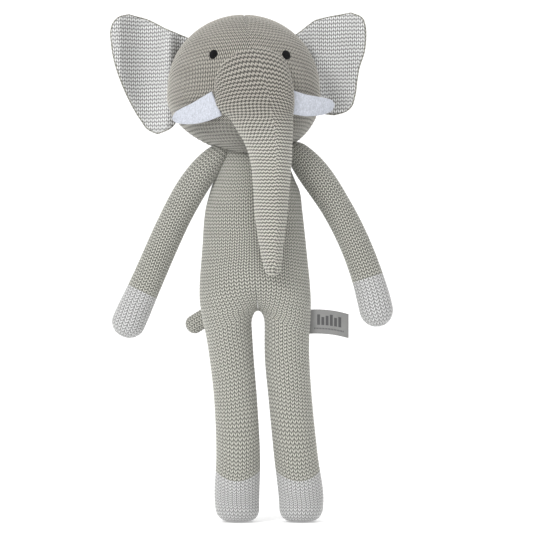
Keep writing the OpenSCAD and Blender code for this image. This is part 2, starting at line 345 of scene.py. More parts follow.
class Recipe:
    """Short way to write a material's node tree."""

    def __init__(self, name: str) -> None:
        """Starts a new material with its Principled shader."""
        self.material = bpy.data.materials.new(name)
        self.material.use_nodes = True
        self.tree = self.material.node_tree
        self.shader = self.tree.nodes["Principled BSDF"]

    def node(self, kind: str, **settings: object) -> bpy.types.Node:
        """Adds a node and sets its properties."""
        made = self.tree.nodes.new(kind)
        for key, value in settings.items():
            setattr(made, key, value)
        return made

    def feed(self, value: object, socket: bpy.types.NodeSocket) -> None:
        """Links a socket, or sets a plain value."""
        if isinstance(value, bpy.types.NodeSocket):
            self.tree.links.new(value, socket)
        else:
            socket.default_value = value

    def sum(self, operation: str, a: object, b: object = 0.0, c: object = 0.0
            ) -> bpy.types.NodeSocket:
        """One Math node."""
        made = self.node("ShaderNodeMath", operation=operation)
        for value, socket in zip((a, b, c), made.inputs):
            self.feed(value, socket)
        return made.outputs[0]

    def mix(self, factor: object, a: object, b: object) -> bpy.types.NodeSocket:
        """Mixes two colours."""
        made = self.node("ShaderNodeMix", data_type="RGBA")
        self.feed(factor, made.inputs["Factor"])
        self.feed(a, made.inputs[6])
        self.feed(b, made.inputs[7])
        return made.outputs[2]

    def split(self, vector: bpy.types.NodeSocket) -> tuple[bpy.types.NodeSocket, ...]:
        """The X, Y and Z of a vector."""
        made = self.node("ShaderNodeSeparateXYZ")
        self.feed(vector, made.inputs[0])
        return tuple(made.outputs)

    def place(self) -> bpy.types.NodeSocket:
        """Place on the piece, in metres."""
        return self.node("ShaderNodeTexCoord").outputs["Object"]

    def stitches(self) -> bpy.types.NodeSocket:
        """Place in the piece's own UV map."""
        return self.node("ShaderNodeUVMap", uv_map="stitches").outputs["UV"]

    def dress(self, colour: object, normal: object, roughness: object, specular: float,
              sheen: float = 0.0) -> None:
        """Feeds the Principled shader.

        Args:
            colour: base colour.
            normal: bumped normal.
            roughness: roughness.
            specular: constant specular level.
            sheen: constant weight of the sheen.
        """
        for name, value in (("Base Color", colour), ("Normal", normal),
                            ("Roughness", roughness), ("Specular IOR Level", specular),
                            ("Sheen Weight", sheen)):
            self.feed(value, self.shader.inputs[name])

    def noise(self, vector: bpy.types.NodeSocket, scale: float, detail: float = 3.0
              ) -> bpy.types.NodeSocket:
        """A noise texture's value at a scale in turns per metre."""
        made = self.node("ShaderNodeTexNoise")
        self.feed(vector, made.inputs["Vector"])
        made.inputs["Scale"].default_value = scale
        made.inputs["Detail"].default_value = detail
        return made.outputs["Fac"]

    def bump(self, height: object, distance: float, strength: float,
             below: bpy.types.NodeSocket | None = None) -> bpy.types.NodeSocket:
        """A Bump node, on top of another one where there is one."""
        made = self.node("ShaderNodeBump")
        made.inputs["Distance"].default_value = distance
        made.inputs["Strength"].default_value = strength
        self.feed(height, made.inputs["Height"])
        if below is not None:
            self.feed(below, made.inputs["Normal"])
        return made.outputs["Normal"]


Colour = tuple[float, float, float]


def tint(colour: Colour, share: float = 1.0) -> tuple[float, float, float, float]:
    """A colour with its light turned down to a share, and no transparency."""
    return (*[c * share for c in colour], 1.0)


@dataclass(frozen=True)
class Yarn:
    """Matt cotton yarn knitted in plain stitches: its lit colour and its gaps.

    rise is how far the drawn V climbs, in courses.  gap is a dark colour painted into the gaps
    between the yarns, as the shade that falls there.  A larger sharp narrows the painted shade
    between courses, column is how dark the painted shade between wales is, and dots is how far that
    painted shade is broken up into dots.  centre is the weight of the painted shade at the middle
    of a V.  From the first height of fade down to the second, in metres, centre turns into
    low_centre and light into low_light.
    """

    name: str
    light: Colour
    gap: Colour
    mottle: float = 0.06
    rise: float = 0.55
    sharp: float = 2.0
    column: float = 0.6
    dots: float = 0.0
    centre: float = 1.0
    low_centre: float = 1.0
    low_light: Colour | None = None
    fade: tuple[float, float] = (0.345, 0.29)
    fuzz: float = 0.28

    def make(self) -> bpy.types.Material:
        """Builds the material.

        The pattern follows the piece's UV map, one unit per wale and per course, by the
        relief's V formula with a rise of its own.  Shade is painted into the gaps at the foot of
        each V and between two wales, where the yarns shade each other; plies are fine stripes
        across the yarn; noise gives fuzz and mottling.

        Returns:
            The new material.
        """
        s = Recipe(self.name)
        u, v, _ = s.split(s.stitches())
        a = s.sum("MULTIPLY", s.sum("ABSOLUTE", s.sum("SUBTRACT", s.sum("FRACT", u), 0.5)), 2.0)
        t = s.sum("FRACT", s.sum("SUBTRACT", v, s.sum("MULTIPLY", a, self.rise)))
        off = s.sum("ABSOLUTE", s.sum("SUBTRACT", s.sum("MULTIPLY", t, 2.0), 1.0))
        deep = s.sum("POWER", off, self.sharp)
        place = s.place()
        down = s.node("ShaderNodeMapRange", interpolation_type="SMOOTHSTEP")
        s.feed(s.split(place)[2], down.inputs["Value"])
        down.inputs["From Min"].default_value = self.fade[0]
        down.inputs["From Max"].default_value = self.fade[1]
        low = down.outputs["Result"]
        centre = s.sum("MULTIPLY_ADD", low, self.low_centre - self.centre, self.centre)
        ends = s.sum("ABSOLUTE", s.sum("COSINE", s.sum("MULTIPLY", a, float(np.pi))))
        weight = s.sum("MULTIPLY_ADD", a, s.sum("SUBTRACT", 1.0, centre), centre)
        ends = s.sum("MULTIPLY", s.sum("POWER", ends, 2.2), weight)
        deep = s.sum("MULTIPLY", deep, s.sum("MULTIPLY_ADD", ends, self.dots, 1.0 - self.dots))
        # Painted shade mask: the gaps between courses and between wales are darkened as the yarns
        # shade them.
        bright = s.sum("MULTIPLY", s.sum("SUBTRACT", 1.0, deep),
                       s.sum("SUBTRACT", 1.0, s.sum("MULTIPLY", ends, self.column)))
        shade = s.sum("SUBTRACT", 1.0, bright)
        coarse = s.noise(place, 38.0, 2.0)
        fuzz = s.noise(place, 2600.0, 3.0)
        base: object = tint(self.light)
        if self.low_light is not None:
            base = s.mix(low, base, tint(self.low_light))
        lit = s.mix(s.sum("MULTIPLY", coarse, self.mottle * 2.0), base, tint(self.light, 0.72))
        lit = s.mix(s.sum("MULTIPLY", fuzz, self.fuzz), lit, tint(self.light, 0.6))
        # The gap colour is painted shade, mixed in where the yarns shade each other.
        colour = s.mix(shade, lit, tint(self.gap))
        ply = s.sum("SINE", s.sum("MULTIPLY_ADD", a, 26.0, s.sum("MULTIPLY", t, 9.0)))
        normal = s.bump(fuzz, 0.0002, 0.5, s.bump(ply, 0.00012, 0.35))
        s.dress(colour, normal, s.sum("MULTIPLY_ADD", fuzz, 0.12, 0.82), 0.18, 0.25)
        s.shader.inputs["Sheen Roughness"].default_value = 0.6
        return s.material


@dataclass(frozen=True)
class Felt:
    """Pressed felt with a faint woven grain."""

    name: str
    colour: Colour
    grain: float = 6200.0

    def make(self) -> bpy.types.Material:
        """Builds the material: soft fibres by noise, and a fine cross grain by waves."""
        s = Recipe(self.name)
        place = s.place()
        x, _, z = s.split(place)
        across = s.sum("SINE", s.sum("MULTIPLY", x, self.grain))
        up = s.sum("SINE", s.sum("MULTIPLY", z, self.grain))
        grain = s.sum("MULTIPLY", across, up)
        fibre = s.noise(place, 900.0, 4.0)
        run = s.node("ShaderNodeMapping")
        s.feed(place, run.inputs["Vector"])
        run.inputs["Rotation"].default_value = (0.0, 0.5, 0.0)
        run.inputs["Scale"].default_value = (1.0, 1.0, 0.22)
        streak = s.noise(run.outputs["Vector"], 1500.0, 3.0)
        worn = s.sum("MULTIPLY", s.sum("SUBTRACT", s.sum("ADD", fibre, streak), 0.72), 1.9)
        colour = s.mix(worn, tint(self.colour), tint(self.colour, 0.66))
        normal = s.bump(fibre, 0.0004, 0.6, s.bump(grain, 0.0001, 0.4))
        s.dress(colour, normal, 0.9, 0.15, 0.3)
        return s.material


@dataclass(frozen=True)
class Thread:
    """Glossy embroidery or sewing thread, laid in parallel strands."""

    name: str
    colour: Colour
    roughness: float = 0.42
    strands: float = 9000.0

    def make(self) -> bpy.types.Material:
        """Builds the material: strands as a sine across X, with light noise."""
        s = Recipe(self.name)
        place = s.place()
        strand = s.sum("SINE", s.sum("MULTIPLY", s.split(place)[0], self.strands))
        fibre = s.noise(place, 1500.0, 2.0)
        colour = s.mix(fibre, tint(self.colour), tint(self.colour, 2.0))
        s.dress(colour, s.bump(strand, 0.0002, 0.6), self.roughness, 0.08)
        return s.material


@dataclass(frozen=True)
class Ribbon:
    """Woven satin ribbon with a fine rib and a plain woven mark: a few bars and a rule."""

    name: str
    colour: Colour
    ink: Colour = (0.05, 0.05, 0.052)
    bar: float = 0.0034

    def mark(self, s: Recipe) -> bpy.types.NodeSocket:
        """Where the mark is woven, along and across the ribbon in metres.

        Bars of uneven height stand side by side over a thin rule; each test is a pair of
        limits, and a place is inked where all of them hold.

        Args:
            s: the recipe that the nodes are added to.

        Returns:
            1 where the ribbon is inked, and 0 elsewhere.
        """
        along, down, _ = s.split(s.stitches())

        def within(value: bpy.types.NodeSocket, low: object, high: object
                   ) -> bpy.types.NodeSocket:
            """1 where a value lies between two limits."""
            return s.sum("MULTIPLY", s.sum("GREATER_THAN", value, low),
                         s.sum("LESS_THAN", value, high))

        step = s.sum("FLOOR", s.sum("DIVIDE", along, self.bar))
        rough = s.sum("FRACT", s.sum("MULTIPLY", step, 0.618))
        top = s.sum("MULTIPLY_ADD", rough, 0.0032, 0.0032)
        thick = within(s.sum("FRACT", s.sum("DIVIDE", along, self.bar)), 0.12, 0.8)
        bars = s.sum("MULTIPLY", s.sum("MULTIPLY", thick, within(along, 0.0068, 0.0272)),
                     within(down, top, 0.0124))
        fine = s.sum("GREATER_THAN", s.sum("SINE", s.sum("MULTIPLY", along, 5200.0)), -0.2)
        rule = s.sum("MULTIPLY", s.sum("MULTIPLY", fine, within(along, 0.0045, 0.029)),
                     within(down, 0.0146, 0.0158))
        return s.sum("MAXIMUM", bars, rule)

    def make(self) -> bpy.types.Material:
        """Builds the material: ribs as a sine up the ribbon, and a soft satin gloss."""
        s = Recipe(self.name)
        place = s.place()
        x, _, z = s.split(place)
        rib = s.sum("SINE", s.sum("MULTIPLY", z, 9500.0))
        weft = s.sum("SINE", s.sum("MULTIPLY", x, 7000.0))
        cloud = s.noise(place, 160.0, 2.0)
        colour = s.mix(cloud, tint(self.colour), tint(self.colour, 0.84))
        colour = s.mix(s.sum("MULTIPLY", self.mark(s), 0.92), colour, tint(self.ink))
        normal = s.bump(weft, 0.00006, 0.3, s.bump(rib, 0.0001, 0.5))
        s.dress(colour, normal, s.sum("MULTIPLY_ADD", cloud, 0.15, 0.42), 0.5)
        return s.material


@dataclass(frozen=True)
class Palette:
    """The toy's finishes."""

    # Each yarn's third colour is the painted shade of its gaps between the yarns.
    body: Yarn = Yarn("greige_yarn", (0.70, 0.695, 0.62), (0.008, 0.008, 0.007), rise=0.75,
                      sharp=1.3, column=0.68, dots=0.1, centre=0.9, low_centre=0.5,
                      fade=(0.215, 0.165))
    # The head's darker low_light below its fade heights is painted shade under the chin.
    head: Yarn = Yarn("taupe_yarn", (0.62, 0.59, 0.522), (0.004, 0.004, 0.003), sharp=0.95,
                      column=0.85, dots=0.42, low_light=(0.50, 0.49, 0.44),
                      fade=(0.337, 0.312))
    # The face's much lighter low_light is painted light on the trunk, which is lit more than the
    # face above it.
    face: Yarn = Yarn("face_yarn", (0.62, 0.59, 0.522), (0.004, 0.004, 0.003), rise=0.5,
                      sharp=0.85, column=0.42, low_light=(0.98, 0.965, 0.865))
    white: Yarn = Yarn("white_yarn", (0.74, 0.74, 0.735), (0.09, 0.09, 0.088), 0.03, rise=0.85,
                       sharp=1.8, column=0.7, centre=0.5, low_centre=0.35)
    # The ear yarn is the white yarn made brighter: painted light on the ears.
    ear: Yarn = Yarn("ear_yarn_painted_light", (0.94, 0.94, 0.935), (0.08, 0.08, 0.078), 0.03, rise=0.5,
                     sharp=1.3, column=0.62, dots=0.25)
    felt: Felt = Felt("tusk_felt", (0.56, 0.585, 0.65))
    eye: Thread = Thread("eye_thread", (0.003, 0.003, 0.0035))
    ribbon: Ribbon = Ribbon("label_ribbon", (0.235, 0.235, 0.23))


class Workshop:
    """Dresses each piece with its finish and hides the CAD parts that it stands for."""

    def __init__(self, palette: Palette) -> None:
        """Makes each finish once."""
        self.finishes = {f.name: getattr(palette, f.name).make() for f in fields(palette)}
        self.slots = {"body": "body_knit", "head": "head_knit", "face": "head_knit",
                      "white": "white_knit", "ear": "white_knit",
                      "felt": "tusk_felt", "eye": "eye_thread", "ribbon": "label_ribbon"}

    def dress(self, piece: bpy.types.Object, finish: str, *nodes: str) -> bpy.types.Object:
        """Gives a piece its finish and hides the CAD nodes it stands for."""
        piece.data.materials.append(self.finishes[finish])
        if nodes:
            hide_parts(*nodes)
        LOG.info("%s: %d faces", piece.name, len(piece.data.polygons))
        return piece


def bent(piece: bpy.types.Object) -> None:
    """Bakes a piece's placement into its mesh."""
    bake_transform(piece)


# ---------------------------------------------------------------- torso and legs


@dataclass
class Trousers:
    """Torso and legs, knitted in one like a pair of trousers.

    The right and the left half each run as a band round the outside of the body.  Above
    the crotch the band's two edges lie on the middle of the front and of the back; they
    draw together under the crotch, and below it the band is closed round its leg.
    """

    gauge: Gauge = Gauge()
    top: float = 292.0
    split: float = 45.0
    crotch_row: float = 52.0
    crotch: tuple[float, float] = (5.2, 170.0)
    cuff_row: float = 92.9
    sole_row: float = 104.3
    toe_row: float = 112.9
    sole_z: float = 1.2
    sole_share: float = 0.58
    edge_share: float = 0.55
    arch_rows: float = 14.0
    arch_rise: float = 26.0
    fork_r: float = 11.0
    lift_row: float = 20.0
    calm_z: float = 55.0
    droop: float = 7.5
    wales: int = 32

    def level(self, v: Array) -> Array:
        """Height of course v at the outside of the body."""
        return self.top - self.gauge.course * v

    def lifted(self, v: Array) -> Array:
        """How far course v is raised at the inner edge, where courses arch over the crotch."""
        low = self.level(v)
        turn = np.clip((self.crotch_row - v) / self.arch_rows, 0.0, 1.0) * np.pi / 2
        under = self.crotch[1] + self.arch_rise * (1.0 - np.cos(turn)) - low
        edge = self.crotch_row - self.arch_rows
        most = self.crotch[1] + self.arch_rise - self.level(np.array(edge))
        above = most * eased((v - self.lift_row) / (edge - self.lift_row))
        fork = self.level(np.array(self.crotch_row))
        below = (self.crotch[1] - fork) * eased((low - self.calm_z) / (fork - self.calm_z))
        return np.where(v < edge, above, np.where(v < self.crotch_row, under, below))

    def place(self, side: Side) -> Surface:
        """The half body's surface, of course v and angle q from the inner edge.

        The outline is a few stations of height and X, drawn through smoothly; the front
        and the back bulge by the depth stations.  Leg and torso are two shapes, and the
        share of each changes over the arched courses.  Round the calf, courses droop in
        front and rise behind.

        Args:
            side: which half of the body.

        Returns:
            A function of v and q, whose q runs from the inner edge round the front.
        """
        sign = side.sign
        outer = {
            Side.RIGHT: [(0, -27.5), (20, -29.6), (52, -28.2), (100, -30), (132, -33.6),
                         (150, -36.4), (166, -39.8), (180, -41.6), (220, -39.4), (250, -37),
                         (258, -35.2), (266, -33), (274, -30.5), (284, -28.5), (292, -27.5),
                         (299, -25), (303, -18)],
            Side.LEFT: [(0, 56), (20, 57.6), (52, 53.2), (100, 48.2), (132, 46.2), (150, 46.2),
                        (166, 47.2), (180, 47.4), (220, 43.8), (250, 40.6), (266, 38.4),
                        (274, 35), (284, 31), (292, 28.5), (299, 25), (303, 19)],
        }[side]
        inner = {
            Side.RIGHT: [(0, 5.8), (20, 6), (52, 6.6), (100, 4), (132, 1.4), (159, -0.3)],
            Side.LEFT: [(0, 23), (20, 22), (52, 18.4), (100, 13.8), (132, 10.9), (159, 10.7)],
        }[side]
        middle = [(170, 5.2), (185, 3.4), (220, 2.4), (268, 1.2), (292, 2)]
        spring = self.crotch[1] - self.fork_r
        depth = [(0, 17.4), (20, 18.2), (52, 17.4), (100, 17.4), (132, 18.6), (150, 20.4),
                 (170, 24.5), (185, 28), (200, 29.6), (240, 28.6), (262, 27), (280, 24),
                 (292, 20), (299, 16.5), (303, 12)]

        def surface(v: Array, q: Array) -> Array:
            """Place of course v at angle q."""
            near = (0.5 + 0.5 * np.cos(q)) ** 1.4
            z = self.level(v) + self.lifted(v) * near
            droop = self.droop * np.sin(q) * np.abs(np.sin(q))
            z = z - droop * eased((95.0 - z) / 55.0) * eased((z - 10.5) / 24.0)
            z, shrink = self.sole(v, z)
            x_out = through(outer, z)
            arch = np.sqrt(np.clip(1.0 - ((z - spring) / self.fork_r) ** 2, 0.0, 1.0))
            gap = np.where(z > spring, self.crotch[0] + (inner[-1][1] - self.crotch[0]) * arch,
                           through(inner, z))
            half_d = through(depth, z)
            centre, half_w = (x_out + gap) / 2, np.abs(x_out - gap) / 2
            leg = np.stack([centre - sign * half_w * np.cos(q) * shrink,
                            -half_d * np.sin(q) * shrink, z], axis=-1)
            x_mid = through(middle, z)
            torso = np.stack([x_mid + (x_out - x_mid) * np.sin(q / 2), -half_d * np.cos(q / 2), z],
                             axis=-1)
            above = np.clip((self.crotch_row - v) / self.arch_rows, 0.0, 1.0)
            joined = np.sin(above * np.pi / 2)[..., None]
            return leg * (1.0 - joined) + torso * joined

        return surface

    def sole(self, v: Array, z: Array) -> tuple[Array, Array]:
        """Rounds the foot off: the last courses turn in over a soft edge to a flat sole.

        Args:
            v: course of each point.
            z: height of each point before the foot is closed.

        Returns:
            The new height, and how much of the leg's width is left.
        """
        start = self.sole_row
        along = np.clip((v - start) / (self.toe_row - start), 0.0, 1.0)
        turn = np.clip(along / self.edge_share, 0.0, 1.0) * np.pi / 2
        rim = 1.0 - (1.0 - self.sole_share) * (1.0 - np.cos(turn))
        flat = np.clip((along - self.edge_share) / (1.0 - self.edge_share), 0.0, 1.0)
        shrink = np.where(along < self.edge_share, rim, self.sole_share * (1.0 - flat))
        edge = self.level(np.array(start))
        low = edge - (edge - self.sole_z) * np.sin(turn)
        return np.where(v > start, low, z), np.where(v > start, shrink, 1.0)

    def build(self, shop: Workshop) -> None:
        """Makes the torso, the legs and the feet."""
        torso = Cloth("torso_knit", self.gauge, 0.3)
        for side in Side:
            torso.tube(self.place(side), -4.0, self.split, self.wales, inward=side is Side.LEFT)
        torso_piece = shop.dress(torso.finish(), "body", "torso_cover", "torso_stuffing")
        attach(torso_piece, "torso")
        for side in Side:
            surface, name, inward = self.place(side), side.value, side is Side.LEFT
            leg = Cloth(f"leg_knit_{name}", self.gauge, 0.3)
            leg.tube(surface, self.split, self.cuff_row, self.wales, inward)
            foot = Cloth(f"foot_knit_{name}", self.gauge, 0.3)
            foot.tube(surface, self.cuff_row, self.toe_row, self.wales, inward)
            leg_piece = shop.dress(leg.finish(), "body", f"leg_cover_{name}",
                                   f"leg_stuffing_{name}")
            bent(leg_piece)
            foot_piece = shop.dress(foot.finish(), "white", f"foot_{name}")
            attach(foot_piece, f"leg_{name}")


# ---------------------------------------------------------------- arms


@dataclass
class Arm:
    """A long stuffed sleeve with a white hand, on a gently bowed route.

    The route runs from shoulder to hand through three places of X and Z.  ahead is how far
    the shoulder stands in front of the route, and bow how far the upper arm swings out.
    """

    side: Side
    route: tuple[tuple[float, float], tuple[float, float], tuple[float, float]]
    gauge: Gauge = Gauge(wale=3.7)
    wales: int = 20
    cuff_share: float = 0.76
    shoulder_r: float = 12.2
    hand_r: float = 13.2
    ahead: float = 8.0
    ahead_share: float = 0.4
    bow: float = 0.0

    def length(self) -> float:
        """Length of the bowed route, by short straight steps."""
        t = np.linspace(0, 1, 60)[:, None]
        return float(np.linalg.norm(np.diff(self.middle(t), axis=0), axis=1).sum())

    def middle(self, t: Array) -> Array:
        """Point on the route: (1-t)^2 A + 2t(1-t) B + t^2 C, in X and Z.

        The upper arm also bows outwards by 9.5t(1-t)^3 of the bow, most at a quarter.
        """
        a, b, c = (np.array(p, float) for p in self.route)
        out = self.side.sign * self.bow * 9.5 * t * (1 - t) ** 3
        return (1 - t) ** 2 * a + 2 * t * (1 - t) * b + t * t * c + out * np.array([1.0, 0.0])

    def surface(self, v: Array, q: Array) -> Array:
        """Place of course v at angle q; the ends are rounded like a ball's.

        Args:
            v: course of each point, from the shoulder to the hand.
            q: angle round the arm.

        Returns:
            The place of each point, in millimetres.
        """
        length = self.length()
        s = v * self.gauge.course
        t = np.clip(s / length, 0.0, 1.0)
        a, b, c = (np.array(p, float) for p in self.route)
        way = 2 * (1 - t)[..., None] * (b - a) + 2 * t[..., None] * (c - b)
        way = way / np.linalg.norm(way, axis=-1, keepdims=True)
        radius = through([(0, 6.5), (0.07, 9.8), (0.17, self.shoulder_r), (0.4, 12.0),
                          (0.74, 12.4), (0.88, self.hand_r), (1, self.hand_r)], t)
        end = np.minimum(s, length - s)
        reach = np.clip(radius - end, 0.0, radius)
        r = np.sqrt(np.maximum(0.0, radius ** 2 - reach ** 2))
        centre = self.middle(t[..., None])
        fore = self.ahead * (1.0 - eased(t / self.ahead_share))
        return np.stack([centre[..., 0] - r * np.cos(q) * way[..., 1], -r * np.sin(q) - fore,
                         centre[..., 1] + r * np.cos(q) * way[..., 0]], axis=-1)

    def build(self, shop: Workshop) -> None:
        """Makes the sleeve and the hand."""
        name = self.side.value
        rows = self.length() / self.gauge.course
        cuff = round(rows * self.cuff_share)
        sleeve = Cloth(f"sleeve_knit_{name}", self.gauge, 0.7)
        sleeve.tube(self.surface, 0.0, cuff, self.wales)
        hand = Cloth(f"hand_knit_{name}", self.gauge, 0.7)
        hand.tube(self.surface, cuff, rows, self.wales)
        piece = shop.dress(sleeve.finish(), "body", f"arm_cover_{name}", f"arm_stuffing_{name}")
        bent(piece)
        hand_piece = shop.dress(hand.finish(), "white", f"hand_{name}")
        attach(hand_piece, f"arm_{name}")


# ---------------------------------------------------------------- head and trunk


@dataclass
class Head:
    """The head: two knitted halves, sewn together over the crown.

    Courses are counted down a ball of radius ball, through the angle reach from the pole.
    """

    gauge: Gauge = Gauge(wale=3.1, course=2.6, relief=1.1, rise=0.55, centre=1.0)
    centre: tuple[float, float, float] = (-6.4, 3.0, 348.0)
    half_w: float = 61.0
    half_d: float = 55.5
    up: float = 59.5
    down: float = 53.0
    yaw: float = np.radians(5.4)
    tilt: float = np.radians(25.0)
    ball: float = 56.0
    reach: float = 2.716

    def shell(self, v: Array, q: Array) -> Array:
        """Place on the head of course v, counted down from the pole, at angle q.

        q is 0 at the toy's left side and runs round the front.  Courses are circles about
        an axis that leans back near the crown and stands upright at the neck.

        Args:
            v: course of each point.
            q: angle of each point.

        Returns:
            The place of each point, in millimetres.
        """
        down = v * self.gauge.course / self.ball
        latitude = np.pi / 2 - down - 0.35 * np.maximum(0.0, down - 1.8) ** 2
        lean = self.tilt * eased((latitude + 1.05) / 2.2)
        x = np.cos(latitude) * np.cos(q)
        y = -np.cos(latitude) * np.sin(q)
        z = np.sin(latitude)
        y, z = y * np.cos(lean) + z * np.sin(lean), z * np.cos(lean) - y * np.sin(lean)
        x, y = (x * np.cos(self.yaw) - y * np.sin(self.yaw),
                x * np.sin(self.yaw) + y * np.cos(self.yaw))
        low = np.clip(-z, 0, 1)
        cheek = 1.0 + 0.14 * low * (1.0 - low)
        chin = np.where(y < 0, np.maximum(1.0 - low * low, 1e-6) ** -0.2, 1.0)
        height = np.where(z > 0, self.up, self.down)
        return np.stack([self.centre[0] + self.half_w * x * cheek + 8.5 * low ** 2.5,
                         self.centre[1] + self.half_d * y * cheek * chin,
                         self.centre[2] + height * z], axis=-1)

    def front(self, x: Array, z: Array) -> Array:
        """Depth of the head's front over the eyes: an ellipsoid above its middle."""
        out = ((x - self.centre[0]) / self.half_w) ** 2 + ((z - self.centre[2]) / self.up) ** 2
        return self.centre[1] - self.half_d * np.sqrt(np.maximum(0.0, 1.0 - out))

    def build(self, shop: Workshop) -> None:
        """Makes both halves of the head."""
        rows = self.reach * self.ball / self.gauge.course
        for side in Side:
            half = Cloth(f"head_knit_{side.value}", self.gauge, 1.1, seam_depth=0.8)
            middle = 0.0 if side is Side.LEFT else np.pi
            for stop in (-np.pi / 2, np.pi / 2):
                half.gored(self.shell, 0.0, rows, middle, middle + stop)
            nodes = ("head_cover", "head_stuffing") if side is Side.LEFT else ()
            piece = shop.dress(half.finish(), "head", *nodes)
            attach(piece, "head")


@dataclass
class Trunk:
    """The face and trunk: a broad brow that turns down into a long tapering tube."""

    gauge: Gauge = Gauge(wale=3.1, course=2.6, relief=1.1, rise=0.5, centre=1.0)
    bend: tuple[float, float] = (-30.0, 322.0)
    brow_rows: float = 21.0
    tip: float = 198.0
    split: float = 37.0

    def ring(self, v: Array) -> tuple[Array, ...]:
        """The ring of course v.

        The face turns down over the brow by a quarter turn; below it the ring is level.

        Args:
            v: course of each point.

        Returns:
            Middle in X, Y and Z, half width, half depth, and the ring's facing angle.
        """
        face = np.clip(v / self.brow_rows, 0.0, 1.0) * 90.0
        outer = through([(0, 60), (15, 57.4), (22, 53.8), (45, 41.5), (70, 33.6), (90, 30.5)], face)
        thick = through([(0, 30), (45, 21), (70, 17.5), (90, 17)], face)
        wide = through([(0, 27), (20, 30), (45, 31.5), (70, 30.5), (90, 25)], face)
        x = through([(0, 0), (45, 2.2), (70, 2.8), (90, 7.5)], face)
        down = np.maximum(0.0, v - self.brow_rows) * self.gauge.course
        z_low = self.bend[1] - down
        straight = v > self.brow_rows
        x = np.where(straight, through([(198, 17.2), (218, 16), (242, 15.6), (265, 15.8),
                                        (288, 15.6), (304, 13.2), (322, 7.5)], z_low), x)
        wide = np.where(straight, through([(198, 0), (199, 3.4), (202, 5.8), (208, 7.2), (218, 8.6),
                                           (242, 12), (265, 13.9), (288, 16), (304, 19),
                                           (322, 25)], z_low), wide)
        thick = np.where(straight, through([(198, 0), (199, 3.1), (202, 5.3), (208, 6.6),
                                            (218, 8.2), (242, 11.6), (265, 13.6), (288, 15.4),
                                            (304, 16.8), (322, 17)], z_low), thick)
        front = np.where(straight, through([(198, 35.4), (199, 38.5), (202, 40.7), (208, 42.8),
                                            (218, 46), (242, 52), (265, 56.5), (288, 59.4),
                                            (304, 60.6), (322, 60.5)], z_low), 0.0)
        angle = np.radians(face)
        reach = outer - thick
        y = np.where(straight, -(front - thick), self.bend[0] - reach * np.sin(angle))
        z = np.where(straight, z_low, self.bend[1] + reach * np.cos(angle))
        return x, y, z, wide, thick, angle

    def seam(self, v: Array) -> Array:
        """Angle of the front seam at course v: it leaves the crown and winds to the left."""
        return np.radians(through([(0, -2), (10, 15), (15, 22), (25, 20), (40, 13), (50, 22),
                                   (68, 18)], v))

    def surface(self, v: Array, q: Array) -> Array:
        """Place of course v at angle q, which is 0 at the front seam and runs to the left."""
        x, y, z, wide, thick, angle = self.ring(v)
        q = q + self.seam(v)
        flat = 1.0 - 0.35 * eased((self.brow_rows - v) / 8.0)
        bow = np.sign(np.cos(q)) * np.abs(np.cos(q)) ** flat
        side, fore = np.sin(q) * wide, bow * thick
        return np.stack([x + side, y - fore * np.sin(angle), z + fore * np.cos(angle)], axis=-1)

    def build(self, shop: Workshop) -> None:
        """Makes the upper part and the lower part."""
        end = self.brow_rows + (self.bend[1] - self.tip) / self.gauge.course
        parts = (("face_knit", 0.0, self.split), ("trunk_knit", self.split, end))
        made = []
        for name, first, last in parts:
            cloth = Cloth(name, self.gauge, 1.9, seam_depth=-0.3, seam_width=0.6)
            for back in (-np.pi, np.pi):
                cloth.gored(self.surface, first, last, back, 0.0, inward=True)
            made.append(cloth.finish())
        upper, lower = made
        shop.dress(upper, "face", "trunk_upper_cover", "trunk_upper_stuffing")
        shop.dress(lower, "face", "trunk_lower_cover", "trunk_lower_stuffing")
        bent(upper)
        bent(lower)


@dataclass
class Neck:
    """The gathered neck, hidden between the collar and the head until the head nods."""

    gauge: Gauge = Gauge(wale=3.3, rise=0.55, centre=1.0)
    top: float = 318.0
    rows: float = 12.0
    wales: int = 34

    def surface(self, v: Array, q: Array) -> Array:
        """Place of course v at angle q, on a short oval tube."""
        z = self.top - self.gauge.course * v
        r = through([(286, 18.5), (296, 17.5), (304, 17.5), (318, 22)], z)
        return np.stack([2.0 - r * np.cos(q), 2.0 - 0.95 * r * np.sin(q), z], axis=-1)

    def build(self, shop: Workshop) -> None:
        """Makes the neck."""
        neck = Cloth("neck_knit", self.gauge, 2.2)
        neck.tube(self.surface, 0.0, self.rows, self.wales, inward=True)
        piece = shop.dress(neck.finish(), "head")
        bent(piece)


# ---------------------------------------------------------------- ears


